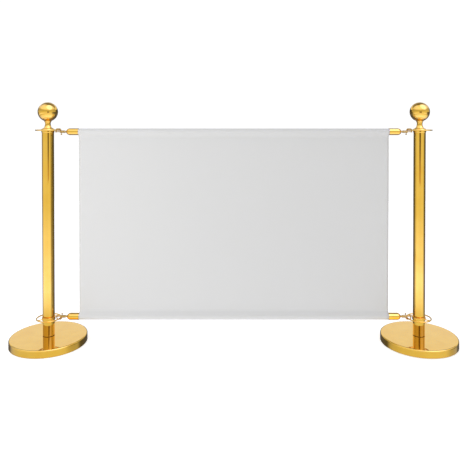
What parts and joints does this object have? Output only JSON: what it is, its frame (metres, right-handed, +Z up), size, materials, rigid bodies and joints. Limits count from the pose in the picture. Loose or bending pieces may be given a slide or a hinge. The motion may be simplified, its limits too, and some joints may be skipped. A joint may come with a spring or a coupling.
{
  "type": "crowd barrier",
  "caption": "Crowd barrier: ball-topped brass posts on round weighted bases with a plain fabric banner held on hoop rings by swivel snap hooks.",
  "frame": {"origin": "on the floor, midway between the two posts", "axes": "+X along the banner towards the right post, -Y out of the banner's front, +Z up"},
  "size_m": [1.85, 0.31, 1],
  "materials": {
    "polished_brass": "mirror polished, lacquered",
    "cast_brass": "tumbled and plated",
    "banner_cloth": "plain woven polyester, matt",
    "rod_aluminium": "satin",
    "cast_iron": "rough cast, painted",
    "rubber": "matt moulded",
    "zinc_steel": "zinc plated",
    "plug_steel": "turned",
    "spring_steel": "bright drawn wire"
  },
  "bodies": {
    "left_post": {"left_base_weight": "cast_iron", "left_base_cover": "polished_brass", "left_floor_ring": "rubber", "left_base_bolt": "zinc_steel", "left_base_washer": "zinc_steel", "left_foot_gasket": "rubber", "left_foot_plug": "plug_steel", "left_top_plug": "plug_steel", "left_post_tube": "polished_brass", "left_lower_ring": "polished_brass", "left_lower_ring_screws": "zinc_steel", "left_upper_ring": "polished_brass", "left_finial_neck": "polished_brass", "left_finial_ball": "polished_brass", "left_finial_stud": "zinc_steel"},
    "panel": {"banner": "banner_cloth", "upper_rod": "rod_aluminium", "lower_rod": "rod_aluminium", "upper_left_end_cap": "polished_brass", "upper_right_end_cap": "polished_brass", "lower_left_end_cap": "polished_brass", "lower_right_end_cap": "polished_brass"},
    "right_post": {"right_base_weight": "cast_iron", "right_base_cover": "polished_brass", "right_floor_ring": "rubber", "right_base_bolt": "zinc_steel", "right_base_washer": "zinc_steel", "right_foot_gasket": "rubber", "right_foot_plug": "plug_steel", "right_top_plug": "plug_steel", "right_post_tube": "polished_brass", "right_lower_ring": "polished_brass", "right_lower_ring_screws": "zinc_steel", "right_upper_ring": "polished_brass", "right_finial_neck": "polished_brass", "right_finial_ball": "polished_brass", "right_finial_stud": "zinc_steel"},
    "upper_left_hook": {"upper_left_hook": "cast_brass", "upper_left_swivel_nut": "zinc_steel", "upper_left_latch_spring": "spring_steel"},
    "upper_left_latch": {"upper_left_latch_bolt": "cast_brass", "upper_left_thumb_knob": "cast_brass"},
    "upper_right_hook": {"upper_right_hook": "cast_brass", "upper_right_swivel_nut": "zinc_steel", "upper_right_latch_spring": "spring_steel"},
    "upper_right_latch": {"upper_right_latch_bolt": "cast_brass", "upper_right_thumb_knob": "cast_brass"},
    "lower_left_hook": {"lower_left_hook": "cast_brass", "lower_left_swivel_nut": "zinc_steel", "lower_left_latch_spring": "spring_steel"},
    "lower_left_latch": {"lower_left_latch_bolt": "cast_brass", "lower_left_thumb_knob": "cast_brass"},
    "lower_right_hook": {"lower_right_hook": "cast_brass", "lower_right_swivel_nut": "zinc_steel", "lower_right_latch_spring": "spring_steel"},
    "lower_right_latch": {"lower_right_latch_bolt": "cast_brass", "lower_right_thumb_knob": "cast_brass"}
  },
  "joints": [
    {"name": "banner_swing_on_left_post", "type": "hinge", "parent": "left_post", "child": "panel", "pos_m": [-0.77, 0, 0.49], "axis": [0, 0, 1], "range_deg": [-33, 33]},
    {"name": "right_post_swing_on_banner", "type": "hinge", "parent": "panel", "child": "right_post", "pos_m": [0.77, 0, 0.49], "axis": [0, 0, 1], "range_deg": [-33, 33]},
    {"name": "upper_left_hook_swivel", "type": "hinge", "parent": "panel", "child": "upper_left_hook", "pos_m": [-0.685, 0, 0.878], "axis": [1, 0, 0], "range_deg": [-10, 10]},
    {"name": "upper_left_latch_slide", "type": "slide", "parent": "upper_left_hook", "child": "upper_left_latch", "axis": [1, 0, 0], "range_m": [0, 0.008], "stiffness_N_per_m": 400, "springref_m": -0.005, "deforming": ["upper_left_latch_spring"]},
    {"name": "upper_right_hook_swivel", "type": "hinge", "parent": "panel", "child": "upper_right_hook", "pos_m": [0.685, 0, 0.878], "axis": [1, 0, 0], "range_deg": [-10, 10]},
    {"name": "upper_right_latch_slide", "type": "slide", "parent": "upper_right_hook", "child": "upper_right_latch", "axis": [-1, 0, 0], "range_m": [0, 0.008], "stiffness_N_per_m": 400, "springref_m": -0.005, "deforming": ["upper_right_latch_spring"]},
    {"name": "lower_left_hook_swivel", "type": "hinge", "parent": "panel", "child": "lower_left_hook", "pos_m": [-0.685, 0, 0.11], "axis": [1, 0, 0], "range_deg": [-10, 10]},
    {"name": "lower_left_latch_slide", "type": "slide", "parent": "lower_left_hook", "child": "lower_left_latch", "axis": [1, 0, 0], "range_m": [0, 0.008], "stiffness_N_per_m": 400, "springref_m": -0.005, "deforming": ["lower_left_latch_spring"]},
    {"name": "lower_right_hook_swivel", "type": "hinge", "parent": "panel", "child": "lower_right_hook", "pos_m": [0.685, 0, 0.11], "axis": [1, 0, 0], "range_deg": [-10, 10]},
    {"name": "lower_right_latch_slide", "type": "slide", "parent": "lower_right_hook", "child": "lower_right_latch", "axis": [-1, 0, 0], "range_m": [0, 0.008], "stiffness_N_per_m": 400, "springref_m": -0.005, "deforming": ["lower_right_latch_spring"]}
  ]
}
